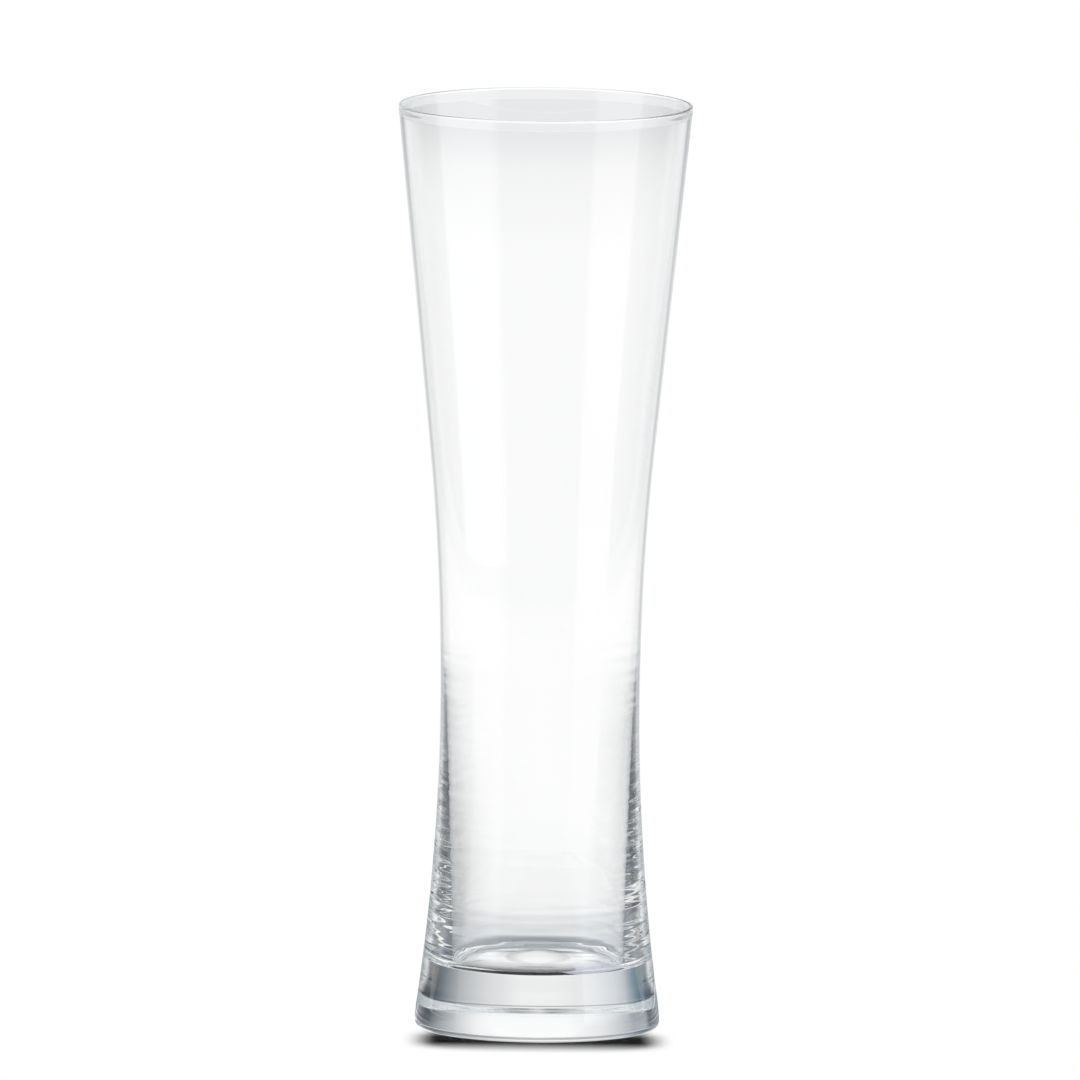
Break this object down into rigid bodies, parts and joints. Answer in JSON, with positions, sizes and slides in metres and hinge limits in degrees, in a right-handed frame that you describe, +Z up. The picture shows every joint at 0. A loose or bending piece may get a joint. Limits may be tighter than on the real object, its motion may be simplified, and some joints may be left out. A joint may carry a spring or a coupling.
{
  "type": "beer glass",
  "caption": "Tall waisted wheat-beer glass in clear glass, thin conical upper wall thickening down to a heavy solid foot.",
  "frame": {"origin": "centre of the flat ring that the glass stands on, at table level", "axes": "+Z up along the glass's axis of revolution, from the foot to the rim; X and Y are free, because the glass is round"},
  "size_m": [0.0822, 0.0822, 0.26],
  "materials": {
    "clear_glass": "polished clear soda-lime glass, faint blue-green where it is thick"
  },
  "bodies": {
    "root": {"glass_body": "clear_glass"}
  },
  "joints": []
}
